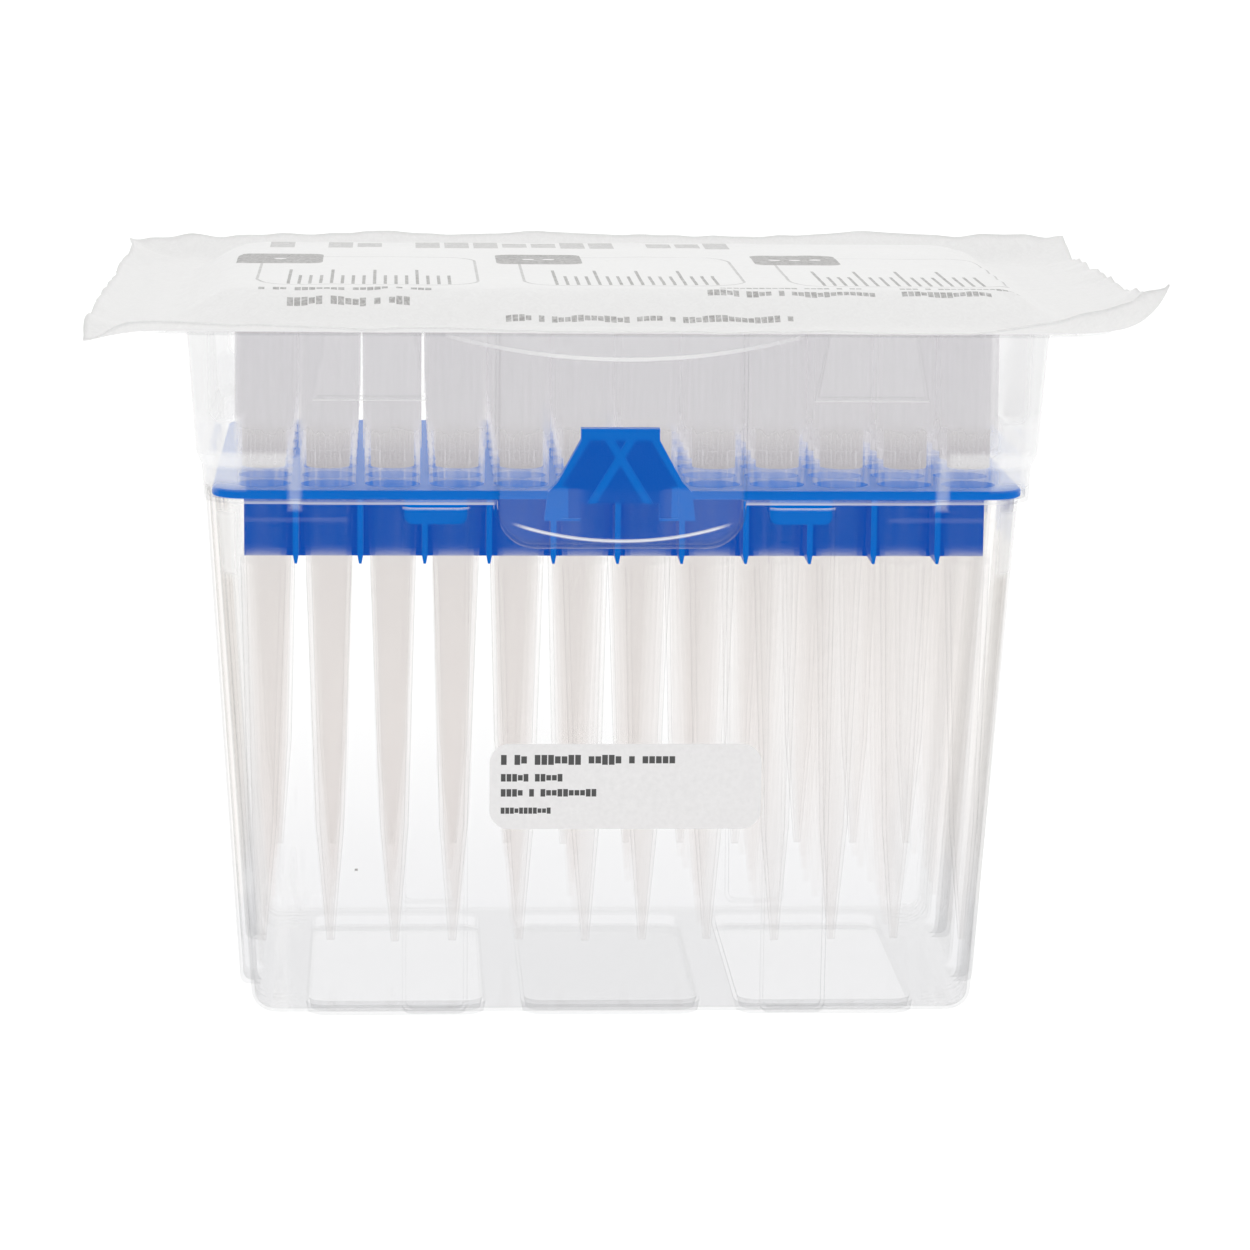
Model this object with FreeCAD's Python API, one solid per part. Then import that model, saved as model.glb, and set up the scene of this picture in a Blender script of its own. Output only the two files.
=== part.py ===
import FreeCAD, Part
import math
import os

# A sealed refill pack of 96 filter pipette tips, in millimetres.
# X runs along the long side, Y from front to back, Z up.
# The origin is on the table, in the middle of the pack, under the feet of the tub.

V = FreeCAD.Vector
UP = V(0, 0, 1)

# ---- tip grid ----
pitch = 9.0
columns = 12
rows = 8
grid_x = (columns - 1) * pitch / 2      # outermost tip centres
grid_y = (rows - 1) * pitch / 2

# ---- formed sheet of the tub ----
sheet = 0.5
feet_height = 1.6                       # pads below the floor
corner_radius = 4.0
top_corner_radius = 6.2
floor_radius = 3.0
overlap = 1.0                           # shapes run into each other by this before they are joined or cut

# ---- tips ----
tip_gap = 0.8                           # between neighbouring heads
tip_collar_step = 0.53                  # the neck is this much thinner than the head, all round
tip_head_diameter = pitch - tip_gap
tip_neck_diameter = tip_head_diameter - 2 * tip_collar_step
tip_point_diameter = 1.1
tip_point_bore = 0.5
tip_knee_diameter = 4.0
tip_knee_height = 16.5                  # above the tip end
tip_shank_length = 65.7                 # from the tip end to the deck
tip_head_length = 27.4                  # above the deck
tip_collar_height = 5.1                 # ribbed collar that stands on the deck
tip_rib_count = 8
tip_rib_width = 0.55
tip_wall = 0.55
tip_lead_in = 0.8
tip_floor_gap = 10.1                    # from the tip ends down to the tub's floor
tip_lean = 0.45                         # degrees, loose in the rack
lean_turns = (2.1, 3.7, 4.3, 1.3)       # radians from hole to hole, so that no two neighbours lean alike

# ---- filters ----
filter_base = 2.5                       # above the deck
filter_length = 5.3
filter_step = 0.2                       # shoulder in the bore that the filter stops on

# ---- rack deck and webs ----
deck_thickness = 1.2
deck_clearance = 0.65                   # from the deck's edge to the tub
deck_corner_step = 1.6                  # the deck's corners turn this much tighter than the tub's
deck_radius = top_corner_radius - deck_corner_step
deck_edge_round = 0.35
hole_clearance = 0.25                   # round a tip's neck
web_thickness = 0.8
web_height = 9.7
web_edge_thickness = 0.35               # of the webs' thin lower edge
web_edge_height = 1.2                   # the webs thin down over this height
web_margin = 2.9                        # ends of the webs beyond the outermost tip centres
deck_tab_width = 8.7
deck_tab_drop = 3.7                     # below the deck
deck_tab_thickness = 1.0
deck_tab_radius = 1.2
deck_tab_gap = 0.4                      # from the foot of a tab to the tub

# ---- heights that follow from the tips ----
rim_drop = 4.1                          # the sealing flange lies this far below the tip tops
tip_point = feet_height + sheet + tip_floor_gap
tip_seat = tip_point + tip_shank_length
tip_top = tip_seat + tip_head_length
ledge_height = tip_seat - deck_thickness - sheet
rim_height = tip_top - rim_drop
steepest_lean = math.radians(math.sqrt(2) * tip_lean)
lean_rise = tip_head_diameter / 2 * math.sin(steepest_lean)
tip_play = 0.015
tip_lift = lean_rise + tip_play         # a leaning tip stands on one edge of its collar

# ---- tub plan: how far the outside stands beyond the outermost tip centres ----
foot_margin = 1.95
wall_draft = 4.75                       # widening of the lower wall up to the ledge
ledge_width = 1.55
corner_draft = 0.35                     # of the band between the ledge and the corner step
panel_step = 0.2                        # the upper wall stands this far outside the corner band
upper_draft = 1.7                       # widening of the upper wall up to the flange
corner_step_rise = 1.6
corner_step_lift = 5.1                  # of the corner step above the ledge
ledge_margin = foot_margin + wall_draft
corner_margin = ledge_margin + ledge_width
corner_margin_top = corner_margin + corner_draft
wall_margin = corner_margin_top + panel_step
rim_margin = wall_margin + upper_draft
corner_step_height = ledge_height + corner_step_lift
deck_margin = corner_margin - sheet - deck_clearance

# ---- sealing flange ----
flange_width = 8.0
flange_radius = 11.0
flange_margin = rim_margin + flange_width
thumb_tab_length = 50.0
thumb_tab_reach = 3.4
thumb_tab_drop = 3.0
thumb_tab_crease = 0.5                  # share of the reach where the tab bends
thumb_tab_crease_drop = 1.3

# ---- pads under the floor ----
pad_count = 3
pad_gap = 5.6
pad_end_margin = 7.75                   # from the pads to the ends of the floor
pad_side_margin = 6.45
pad_slope = 0.6
pad_radius = 3.0
pad_length = (2 * (grid_x + foot_margin - pad_end_margin) - (pad_count - 1) * pad_gap) / pad_count
pad_depth = 2 * (grid_y + foot_margin - pad_side_margin)
pad_pitch = pad_length + pad_gap

# ---- finger pockets over the rack handles ----
pocket_width = 34.4
pocket_drop = 5.4                       # floor of the pocket below the ledge
pocket_depth = 6.2                      # in front of the upper wall at the ledge
pocket_radius = 5.6
pocket_edge = 2.4
pocket_draft = 0.7
pocket_floor = ledge_height - pocket_drop

# ---- flutes in the walls ----
flute_width = 9.3
flute_depth = 2.1
flute_foot = 0.6                        # foot of a flute above the floor
flute_radius = 1.2
flute_gap = 3.65                        # from the pocket to a flute
side_flute_gap = 17.7                   # between the two flutes of a side
front_flute_place = (pocket_width + flute_width) / 2 + flute_gap
side_flute_place = (side_flute_gap + flute_width) / 2

# ---- lugs that keep nested tubs apart ----
lug_bottom_width = 15.8
lug_top_width = 12.0
lug_rise = 10.2                         # underside of a lug below the rim
lug_depth = 1.1
lug_gap = 9.5                           # from the pocket to a lug
panel_edge = 2.0                        # straight panel beyond the lugs
lug_height = rim_height - lug_rise
lug_place = (pocket_width + lug_bottom_width) / 2 + lug_gap
panel_half = lug_place + lug_bottom_width / 2 + panel_edge

# ---- rack handles ----
handle_foot_width = 21.0
handle_hip_width = 20.0                 # level with the deck top
handle_slope_width = 17.2               # at the foot of the slope
handle_top_width = 10.9
handle_rise = 8.9                       # above the deck
handle_drop = 2.75                      # below the deck
handle_slope_foot = 1.5                 # foot of the slope, above the deck top
handle_bar = 1.6                        # height of the upright ends at the top
handle_leg = 5.0
handle_arch = 0.35                      # top of the arch, below the deck
handle_plate = 1.0
handle_border = 1.2
handle_border_foot = 0.7                # the border's inner edge bends this far below the slope's foot
handle_border_proud = 0.5
handle_leg_strip = 2.4                  # raised outer strip of a leg
handle_sole = 0.3                       # raised edge along the foot of a leg
handle_overlap = 0.5                    # into the deck edge
handle_rib = 1.3
handle_rib_foot = 3.95
handle_rib_head = 1.9
handle_rib_proud = 0.4

# ---- lid ----
lid_overhang_x = 6.5                    # beyond the flange at the ends
lid_overhang_y = 4.0                    # beyond the flange at the front and back
lid_shift = 1.5                         # sealed a little to the right
lid_thickness = 0.25
lid_clearance = 0.1                     # over the tip tops
lid_tent_cover = 1.5                    # top of the tent beyond the outermost heads
lid_seal_gap = 0.4                      # foot of the tent inside the tub's mouth
lid_tent_margin = tip_head_diameter / 2 + lid_tent_cover
lid_foot_margin = rim_margin - sheet - lid_seal_gap

# ---- label ----
label_side_gap = 1.65                   # to the flutes, if it stood in the middle
label_height = 12.4
label_radius = 2.8
label_thickness = 0.15
label_shift = 1.35
label_middle_height = 35.4
label_length = 2 * (front_flute_place - label_side_gap) - flute_width


def rounded_outline(half_x, half_y, radius, z):
    """Closed wire: a rectangle with round corners at one height."""
    plane_face = Part.makePlane(2 * half_x, 2 * half_y, V(-half_x, -half_y, z), UP)
    box = plane_face.extrude(UP)
    uprights = [e for e in box.Edges if abs(e.Vertexes[0].Z - e.Vertexes[1].Z) > 0.5]
    box = box.makeFillet(radius, uprights)
    bottom = [f for f in box.Faces if abs(f.BoundBox.ZMax - z) < 1e-6]
    return bottom[0].OuterWire


def tapered(low, high):
    """Solid between two rounded rectangles, each (z, half_x, half_y, radius)."""
    wires = [rounded_outline(half_x, half_y, radius, z) for z, half_x, half_y, radius in (low, high)]
    return Part.makeLoft(wires, True, True)


def joined(shapes):
    """One shape from overlapping shapes."""
    return shapes[0].fuse(shapes[1:]).removeSplitter()


def flipped(shape):
    """The same shape turned half a turn about Z."""
    turned = shape.copy()
    turned.rotate(V(0, 0, 0), UP, 180)
    return turned


def level_edges(shape, z):
    """Edges that lie wholly at one height."""
    return [e for e in shape.Edges if abs(e.BoundBox.ZMin - z) < 1e-4 and abs(e.BoundBox.ZMax - z) < 1e-4]


def wall_at(z):
    """How far the lower wall stands beyond the outermost tip centres."""
    share = (z - feet_height) / (ledge_height - feet_height)
    return foot_margin + (ledge_margin - foot_margin) * share


def upper_wall_at(z):
    """The same for the upper wall."""
    share = (z - ledge_height) / (rim_height - ledge_height)
    return wall_margin + (rim_margin - wall_margin) * share


def lower_body(inset):
    """The tapered body from the floor to the ledge."""
    bottom = feet_height + inset
    top = ledge_height + inset + overlap
    low = (bottom, grid_x + wall_at(bottom) - inset, grid_y + wall_at(bottom) - inset, corner_radius - inset)
    high = (top, grid_x + wall_at(top) - inset, grid_y + wall_at(top) - inset, corner_radius - inset)
    body = tapered(low, high)
    return body.makeFillet(floor_radius - inset, level_edges(body, bottom))


def pads(inset):
    """Three shallow feet formed into the floor."""
    shapes = []
    for index in range(pad_count):
        low = (inset, pad_length / 2 - inset, pad_depth / 2 - inset, pad_radius - inset)
        high = (feet_height + 3 * sheet, low[1] + pad_slope, low[2] + pad_slope, low[3] + pad_slope)
        pad = tapered(low, high)
        pad.translate(V((index - (pad_count - 1) / 2) * pad_pitch, 0, 0))
        shapes.append(pad)
    return shapes


def flute(inset):
    """One upright flute on the front wall, at X = 0."""
    bottom = feet_height + flute_foot + inset
    top = ledge_height + inset - sheet
    half = flute_width / 2 - inset
    low_front = grid_y + wall_at(bottom) + flute_depth - inset
    high_front = grid_y + wall_at(top) + flute_depth - inset
    inner = grid_y - pitch / 2
    outlines = []
    for z, front in ((bottom, low_front), (top, high_front)):
        outline = rounded_outline(half, (front - inner) / 2, flute_radius, z)
        outline.translate(V(0, -(front + inner) / 2, 0))
        outlines.append(outline)
    body = Part.makeLoft(outlines, True, True)
    return body.makeFillet(flute_radius, level_edges(body, bottom))


def flutes(inset):
    """Two flutes on each of the four walls."""
    shapes = []
    for place in (-front_flute_place, front_flute_place):
        front = flute(inset)
        front.translate(V(place, 0, 0))
        shapes += [front, flipped(front)]
    for place in (-side_flute_place, side_flute_place):
        side = flute(inset)
        side.translate(V(place, grid_y - grid_x, 0))
        side.rotate(V(0, 0, 0), UP, 90)
        shapes += [side, flipped(side)]
    return shapes


def corner_band(inset):
    """The slightly narrower band between the ledge and the corner step."""
    bottom = ledge_height + inset
    top = corner_step_height + corner_step_rise
    radius = top_corner_radius - inset
    low = (bottom, grid_x + corner_margin - inset, grid_y + corner_margin - inset, radius)
    high = (top, grid_x + corner_margin_top - inset, grid_y + corner_margin_top - inset, radius)
    return tapered(low, high)


def upper_body(inset, top):
    """The wide band above the corner step, with its sloping underside."""
    start = corner_step_height + inset
    full = start + corner_step_rise
    radius = top_corner_radius - inset
    narrow = corner_margin_top - inset
    low = (start, grid_x + narrow, grid_y + narrow, radius)
    middle = (full, grid_x + upper_wall_at(full) - inset, grid_y + upper_wall_at(full) - inset, radius)
    high = (top, grid_x + upper_wall_at(top) - inset, grid_y + upper_wall_at(top) - inset, radius)
    return [tapered(low, middle), tapered(middle, high)]


def straight_panel(inset):
    """Front and back middle, where the upper wall runs straight down to the ledge."""
    bottom = ledge_height + inset
    top = corner_step_height + corner_step_rise + 2 * overlap
    half = panel_half - inset
    low = (bottom, half, grid_y + upper_wall_at(bottom) - inset, flute_radius)
    high = (top, half, grid_y + upper_wall_at(top) - inset, flute_radius)
    return tapered(low, high)


def finger_pocket(inset, top):
    """Bulge in the front wall that gives fingers room at the rack handle."""
    back = -grid_y
    front = -(grid_y + wall_margin + pocket_depth - inset)
    half = pocket_width / 2 - inset
    outlines = []
    for y, grow in ((back, pocket_draft), (front, 0)):
        frame = rounded_outline(half + grow, top - pocket_floor, pocket_radius - inset, 0)
        frame.rotate(V(0, 0, 0), V(1, 0, 0), 90)
        frame.translate(V(0, y, top + inset - grow))
        outlines.append(frame)
    bulge = Part.makeLoft(outlines, True, True)
    bulge = bulge.makeFillet(pocket_edge, [e for e in bulge.Edges if abs(e.BoundBox.YMax - front) < 1e-4])
    reach = pocket_width
    keep = Part.makeBox(2 * reach, overlap - front, top - pocket_floor + overlap,
                        V(-reach, front - overlap, pocket_floor - overlap))
    return bulge.common(keep)


def denest_lug(inset, top):
    """Trapezoid bump with a flat underside, high on the front wall."""
    front = -(grid_y + rim_margin + lug_depth - inset)
    foot = lug_bottom_width / 2 - inset
    head = lug_top_width / 2 - inset
    points = [V(-foot, -grid_y, lug_height + inset), V(foot, -grid_y, lug_height + inset),
              V(head, -grid_y, top), V(-head, -grid_y, top)]
    outline = Part.Face(Part.makePolygon(points + points[:1]))
    return outline.extrude(V(0, front + grid_y, 0))


def envelope(inset, top):
    """Everything inside the tub's outside, moved inwards by inset."""
    shapes = [lower_body(inset), corner_band(inset), straight_panel(inset)]
    shapes += pads(inset) + flutes(inset) + upper_body(inset, top)
    pocket = finger_pocket(inset, top)
    shapes += [pocket, flipped(pocket)]
    for place in (-lug_place, lug_place):
        lug = denest_lug(inset, top)
        lug.translate(V(place, 0, 0))
        shapes += [lug, flipped(lug)]
    return joined(shapes)


def thumb_tab():
    """Crescent on the flange edge that bends down, to start the peel."""
    half = thumb_tab_length / 2
    edge_y = -(grid_y + flange_margin)
    root = Part.LineSegment(V(-half, edge_y, rim_height), V(half, edge_y, rim_height)).toShape()
    curves = [root]
    for reach, drop in ((thumb_tab_crease * thumb_tab_reach, thumb_tab_crease_drop),
                        (thumb_tab_reach, thumb_tab_drop)):
        middle = V(0, edge_y - reach, rim_height - drop)
        arc = Part.Arc(V(-half, edge_y, rim_height), middle, V(half, edge_y, rim_height))
        curves.append(arc.toShape())
    strips = [Part.makeRuledSurface(a, b) for a, b in zip(curves, curves[1:])]
    return [strip.extrude(V(0, 0, -sheet)) for strip in strips]


def make_tub():
    flange_bottom = rim_height - sheet
    plate = Part.Face(rounded_outline(grid_x + flange_margin, grid_y + flange_margin, flange_radius,
                                      flange_bottom))
    plate = plate.extrude(V(0, 0, sheet))
    tabs = thumb_tab()
    outside = joined([envelope(0, flange_bottom), plate])
    for tab in tabs + [flipped(tab) for tab in tabs]:
        outside = outside.fuse(tab)
    inside = envelope(sheet, rim_height + overlap)
    return outside.cut(inside).removeSplitter()


def handle():
    """Handle plate at the front edge of the deck, in a raised frame with crossed ribs."""
    deck_top = tip_seat
    deck_bottom = deck_top - deck_thickness
    foot = handle_foot_width / 2
    hip = handle_hip_width / 2
    slope = handle_slope_width / 2
    head = handle_top_width / 2
    top = deck_top + handle_rise
    neck = top - handle_bar
    low = deck_bottom - handle_drop
    bend = deck_top + handle_slope_foot
    leg = foot - handle_leg
    arch = deck_bottom - handle_arch
    back = -(grid_y + deck_margin - handle_overlap)

    def slab(corners, thickness, hole=None):
        face = Part.Face(Part.makePolygon([V(x, back, z) for x, z in corners + corners[:1]]))
        solid = face.extrude(V(0, -thickness, 0))
        if hole:
            cut = Part.Face(Part.makePolygon([V(x, back, z) for x, z in hole + hole[:1]]))
            solid = solid.cut(cut.extrude(V(0, -2 * thickness, 0)))
        return solid

    outline = [(-foot, low), (-leg, low), (-leg, arch), (leg, arch), (leg, low), (foot, low),
               (hip, deck_top), (slope, bend), (head, neck), (head, top),
               (-head, top), (-head, neck), (-slope, bend), (-hip, deck_top)]
    strip = foot - handle_leg_strip
    inner_bend = bend - handle_border_foot
    window = [(-strip, low + handle_sole), (strip, low + handle_sole), (strip, inner_bend),
              (head - handle_border, neck), (-head + handle_border, neck), (-strip, inner_bend)]
    plate = slab(outline, handle_overlap + handle_plate)
    frame = slab(outline, handle_overlap + handle_plate + handle_border_proud, window)
    ribs = []
    for side in (-1, 1):
        low_x = side * handle_rib_foot
        high_x = -side * handle_rib_head
        half = handle_rib / 2
        corners = [(low_x - half, arch), (low_x + half, arch),
                   (high_x + half, neck + half), (high_x - half, neck + half)]
        ribs.append(slab(corners, handle_overlap + handle_plate + handle_rib_proud))
    return joined([plate, frame] + ribs)


def web(length, low):
    """One upright web along Y with a thin lower edge."""
    half = web_thickness / 2
    edge = web_edge_thickness / 2
    sides = [(-edge, low), (edge, low), (half, low + web_edge_height), (half, low + web_height),
             (-half, low + web_height), (-half, low + web_edge_height)]
    points = [V(x, -length / 2, z) for x, z in sides]
    return Part.Face(Part.makePolygon(points + points[:1])).extrude(V(0, length, 0))


def deck_tab(deck_bottom):
    """Tongue below the deck's front edge that drops inside the tub's wall, at X = 0."""
    foot = deck_bottom - deck_tab_drop
    front = -(grid_y + wall_at(foot) - sheet - deck_tab_gap)
    outline = rounded_outline(deck_tab_width / 2, deck_tab_drop, deck_tab_radius, 0)
    outline.rotate(V(0, 0, 0), V(1, 0, 0), 90)
    outline.translate(V(0, front + deck_tab_thickness, deck_bottom))
    tongue = Part.Face(outline).extrude(V(0, -deck_tab_thickness, 0))
    reach = deck_tab_width
    keep = Part.makeBox(2 * reach, -front + overlap, deck_tab_drop + overlap + deck_thickness / 2,
                        V(-reach, front - overlap, foot - overlap))
    return tongue.common(keep)


def make_rack():
    deck_top = tip_seat
    deck_bottom = deck_top - deck_thickness
    outline = rounded_outline(grid_x + deck_margin, grid_y + deck_margin, deck_radius, deck_bottom)
    deck = Part.Face(outline).extrude(V(0, 0, deck_thickness))
    deck = deck.makeFillet(deck_edge_round, level_edges(deck, deck_top) + level_edges(deck, deck_bottom))
    hole_radius = tip_neck_diameter / 2 + hole_clearance
    holes = []
    for column in range(columns):
        for row in range(rows):
            place = V(column * pitch - grid_x, row * pitch - grid_y, deck_bottom - overlap)
            holes.append(Part.makeCylinder(hole_radius, deck_thickness + 2 * overlap, place))
    deck = deck.cut(Part.makeCompound(holes))
    webs = []
    low = deck_bottom - web_height
    for column in range(columns - 1):
        one = web(2 * (grid_y + web_margin), low)
        one.translate(V((column + 0.5) * pitch - grid_x, 0, 0))
        webs.append(one)
    for row in range(rows - 1):
        one = web(2 * (grid_x + web_margin), low)
        one.rotate(V(0, 0, 0), UP, 90)
        one.translate(V(0, (row + 0.5) * pitch - grid_y, 0))
        webs.append(one)
    tabs = []
    for place in (-front_flute_place, front_flute_place):
        one = deck_tab(deck_bottom)
        one.translate(V(place, 0, 0))
        tabs += [one, flipped(one)]
    front = handle()
    return joined([deck] + webs + tabs + [front, flipped(front)])


def make_tip():
    """One tip standing in its hole, with its axis on Z."""
    head = tip_head_diameter / 2
    neck = tip_neck_diameter / 2
    knee = tip_knee_diameter / 2
    point = tip_point_diameter / 2
    knee_z = tip_point + tip_knee_height
    collar_z = tip_seat + tip_collar_height
    shoulder_z = tip_seat + filter_base
    bore = neck - tip_wall
    mouth = head - tip_wall
    outline = [(point, tip_point), (knee, knee_z), (neck, tip_seat), (neck, collar_z), (head, collar_z),
               (head, tip_top), (mouth, tip_top), (bore + filter_step / 2, tip_top - tip_lead_in),
               (bore, shoulder_z), (bore - filter_step, shoulder_z),
               (knee - tip_wall, knee_z), (tip_point_bore / 2, tip_point)]
    points = [V(r, 0, z) for r, z in outline]
    body = Part.Face(Part.makePolygon(points + points[:1])).revolve(V(0, 0, 0), UP, 360)
    rib = Part.makeBox(head - neck + tip_wall / 2, tip_rib_width, tip_collar_height,
                       V(neck - tip_wall / 2, -tip_rib_width / 2, tip_seat))
    ribs = []
    for index in range(tip_rib_count):
        one = rib.copy()
        one.rotate(V(0, 0, 0), UP, (index + 0.5) * 360 / tip_rib_count)
        ribs.append(one)
    ring = Part.makeCylinder(head, tip_collar_height, V(0, 0, tip_seat))
    ribs = [rib_shape.common(ring) for rib_shape in ribs]
    return body.fuse(ribs).removeSplitter()


def make_filter():
    """The porous plug pressed into one tip."""
    bore = tip_neck_diameter / 2 - tip_wall
    low = tip_seat + filter_base
    mouth_z = tip_top - tip_lead_in
    spread = filter_step / 2 * filter_length / (mouth_z - low)
    return Part.makeCone(bore, bore + spread, filter_length, V(0, 0, low))


def lean(column, row):
    """Small leftover tilts, different for each hole, about X and about Y."""
    about_x = tip_lean * math.sin(lean_turns[0] * column + lean_turns[1] * row)
    about_y = tip_lean * math.cos(lean_turns[2] * column + lean_turns[3] * row)
    return about_x, about_y


def column_of(shape, column):
    """Eight copies of one shape, in the holes of one column."""
    copies = []
    for row in range(rows):
        about_x, about_y = lean(column, row)
        one = shape.copy()
        one.rotate(V(0, 0, tip_seat), V(1, 0, 0), about_x)
        one.rotate(V(0, 0, tip_seat), V(0, 1, 0), about_y)
        one.translate(V(column * pitch - grid_x, row * pitch - grid_y, tip_lift))
        copies.append(one)
    return Part.makeCompound(copies)


def make_lid():
    """The sealed sheet, held up like a tent by the tip tops."""
    tent_top = tip_top + tip_lift + lean_rise + lid_clearance
    half_x = grid_x + flange_margin + lid_overhang_x
    half_y = grid_y + flange_margin + lid_overhang_y
    plate = Part.makeBox(2 * half_x, 2 * half_y, lid_thickness, V(lid_shift - half_x, -half_y, rim_height))

    def tent(lift):
        low = (rim_height + lift, grid_x + lid_foot_margin, grid_y + lid_foot_margin, corner_radius)
        high = (tent_top + lift, grid_x + lid_tent_margin, grid_y + lid_tent_margin, corner_radius)
        return tapered(low, high)

    foot = Part.Face(rounded_outline(grid_x + lid_foot_margin, grid_y + lid_foot_margin,
                                     corner_radius, rim_height)).extrude(V(0, 0, lid_thickness))
    return joined([plate, foot, tent(lid_thickness)]).cut(tent(0)).removeSplitter()


def make_label():
    """A thin stuck-on label that follows the sloping front wall."""
    half_x = label_length / 2
    half_z = label_height / 2
    outline = rounded_outline(half_x, half_z, label_radius, 0)
    outline.rotate(V(0, 0, 0), V(1, 0, 0), 90)
    outline.translate(V(label_shift, 0, label_middle_height))
    reach = grid_y + ledge_margin + flute_depth
    prism = Part.Face(outline).extrude(V(0, -reach, 0))
    return prism.common(lower_body(-label_thickness)).cut(lower_body(0))


def save(name, shape):
    shape.exportStep("parts/" + name + ".step")
    print(name, len(shape.Solids), "solids", round(shape.Volume / 1000, 2), "cm3", shape.isValid())


os.makedirs("parts", exist_ok=True)
save("tub", make_tub())
save("rack", make_rack())
save("lid", make_lid())
save("label", make_label())
tip = make_tip()
plug = make_filter()
for number in range(columns):
    save("tips_column_%02d" % (number + 1), column_of(tip, number))
    save("filters_column_%02d" % (number + 1), column_of(plug, number))
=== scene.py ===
import bpy
import math
from mathutils import Matrix, Vector, noise


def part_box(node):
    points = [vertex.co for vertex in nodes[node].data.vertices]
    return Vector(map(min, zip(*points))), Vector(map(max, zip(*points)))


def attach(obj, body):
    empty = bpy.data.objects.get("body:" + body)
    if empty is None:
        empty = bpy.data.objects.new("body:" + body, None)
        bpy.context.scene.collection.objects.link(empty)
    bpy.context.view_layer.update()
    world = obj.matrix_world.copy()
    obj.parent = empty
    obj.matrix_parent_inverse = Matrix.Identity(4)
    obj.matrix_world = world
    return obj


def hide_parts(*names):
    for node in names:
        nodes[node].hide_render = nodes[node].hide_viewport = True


# A sealed refill pack of 96 filter pipette tips: clear formed tub, blue rack, natural tips and a
# peel-off sheet. Everything is in metres; MM turns the maker's millimetres into them.
MM = 0.001
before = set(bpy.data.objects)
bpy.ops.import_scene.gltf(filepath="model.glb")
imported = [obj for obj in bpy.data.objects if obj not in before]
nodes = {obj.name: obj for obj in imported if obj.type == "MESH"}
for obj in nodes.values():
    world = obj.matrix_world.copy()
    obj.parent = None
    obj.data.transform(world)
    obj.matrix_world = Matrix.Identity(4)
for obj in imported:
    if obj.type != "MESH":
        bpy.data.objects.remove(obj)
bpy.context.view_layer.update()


# ---- studio -------------------------------------------------------------------------------
# A plain pale floor in an even white room, which is a little dimmer in front. Two soft boxes and
# a darker front show in gloss only, so that the clear walls don't turn milky.

def put(tree, kind, inputs=None, **settings):
    """Adds one shader node. An input given as a socket is linked, and any other is set."""
    made = tree.nodes.new("ShaderNode" + kind)
    for name, value in settings.items():
        setattr(made, name, value)
    for name, value in (inputs or {}).items():
        if isinstance(value, bpy.types.NodeSocket):
            tree.links.new(value, made.inputs[name])
        else:
            made.inputs[name].default_value = value
    return made


def maths(tree, operation, first, second=0.0, third=0.0, clamp=False):
    """The result of one Math node."""
    made = put(tree, "Math", {0: first, 1: second, 2: third}, operation=operation, use_clamp=clamp)
    return made.outputs[0]


def spread(tree, value, low, high, least, most):
    """Map Range: low..high becomes least..most, held at both ends."""
    return put(tree, "MapRange", {0: value, 1: low, 2: high, 3: least, 4: most}).outputs[0]


def split(tree, vector):
    """The X, Y and Z of a vector."""
    return put(tree, "SeparateXYZ", {0: vector}).outputs


def own_place(tree):
    """Where a point lies on the piece, in metres."""
    return put(tree, "TexCoord").outputs["Object"]


def mixed(tree, share, first, second):
    """Mix Shader: share of the second over the first."""
    return put(tree, "MixShader", {0: share, 1: first, 2: second}).outputs[0]


def new_material(name, surface_of):
    """A material whose surface is the shader that surface_of makes in its tree."""
    made = bpy.data.materials.new(name)
    made.use_nodes = True
    tree = made.node_tree
    tree.nodes.clear()
    put(tree, "OutputMaterial", {"Surface": surface_of(tree)})
    return made


white = (1.0, 1.0, 1.0, 1.0)
floor_size = 12.0
floor_cloud_scale = 3.0
floor_dull, floor_bright = 0.900, 0.915
floor_glow = 0.2


def floor_surface(tree):
    """Matt paper with faint clouds, which glows a little so that it stays as pale as the room."""
    clouds = put(tree, "TexNoise", {"Vector": own_place(tree), "Scale": floor_cloud_scale, "Detail": 2.0})
    tone = spread(tree, clouds.outputs["Fac"], 0.0, 1.0, floor_dull, floor_bright)
    colour = put(tree, "CombineColor", {0: tone, 1: tone, 2: tone}).outputs[0]
    paper = put(tree, "BsdfPrincipled", {"Base Color": colour, "Roughness": 0.9, "Specular IOR Level": 0.1,
                                         "Emission Color": white, "Emission Strength": floor_glow})
    return paper.outputs[0]


bpy.ops.object.select_all(action="DESELECT")
bpy.ops.mesh.primitive_plane_add(size=floor_size, location=(0, 0, 0))
floor = bpy.context.object
floor.name = "studio_floor"
floor.data.materials.append(new_material("floor_paper", floor_surface))

front_fill, back_fill = 0.80, 1.02
fill_front_y, fill_back_y = -0.8, 0.8
overhead_fill = 0.12
overhead_start = 0.1
mirrored_front, mirrored_back = 0.22, 1.0
mirrored_front_y, mirrored_back_y = -0.6, 0.3
# The way to each soft box, and its strength. Its rim lies between two cosines from that way.
soft_boxes = [((-0.35, -0.62, 0.70), 7.0), ((0.75, -0.30, 0.55), 5.0)]
rim_outside, rim_inside = 0.90, 0.94

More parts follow.
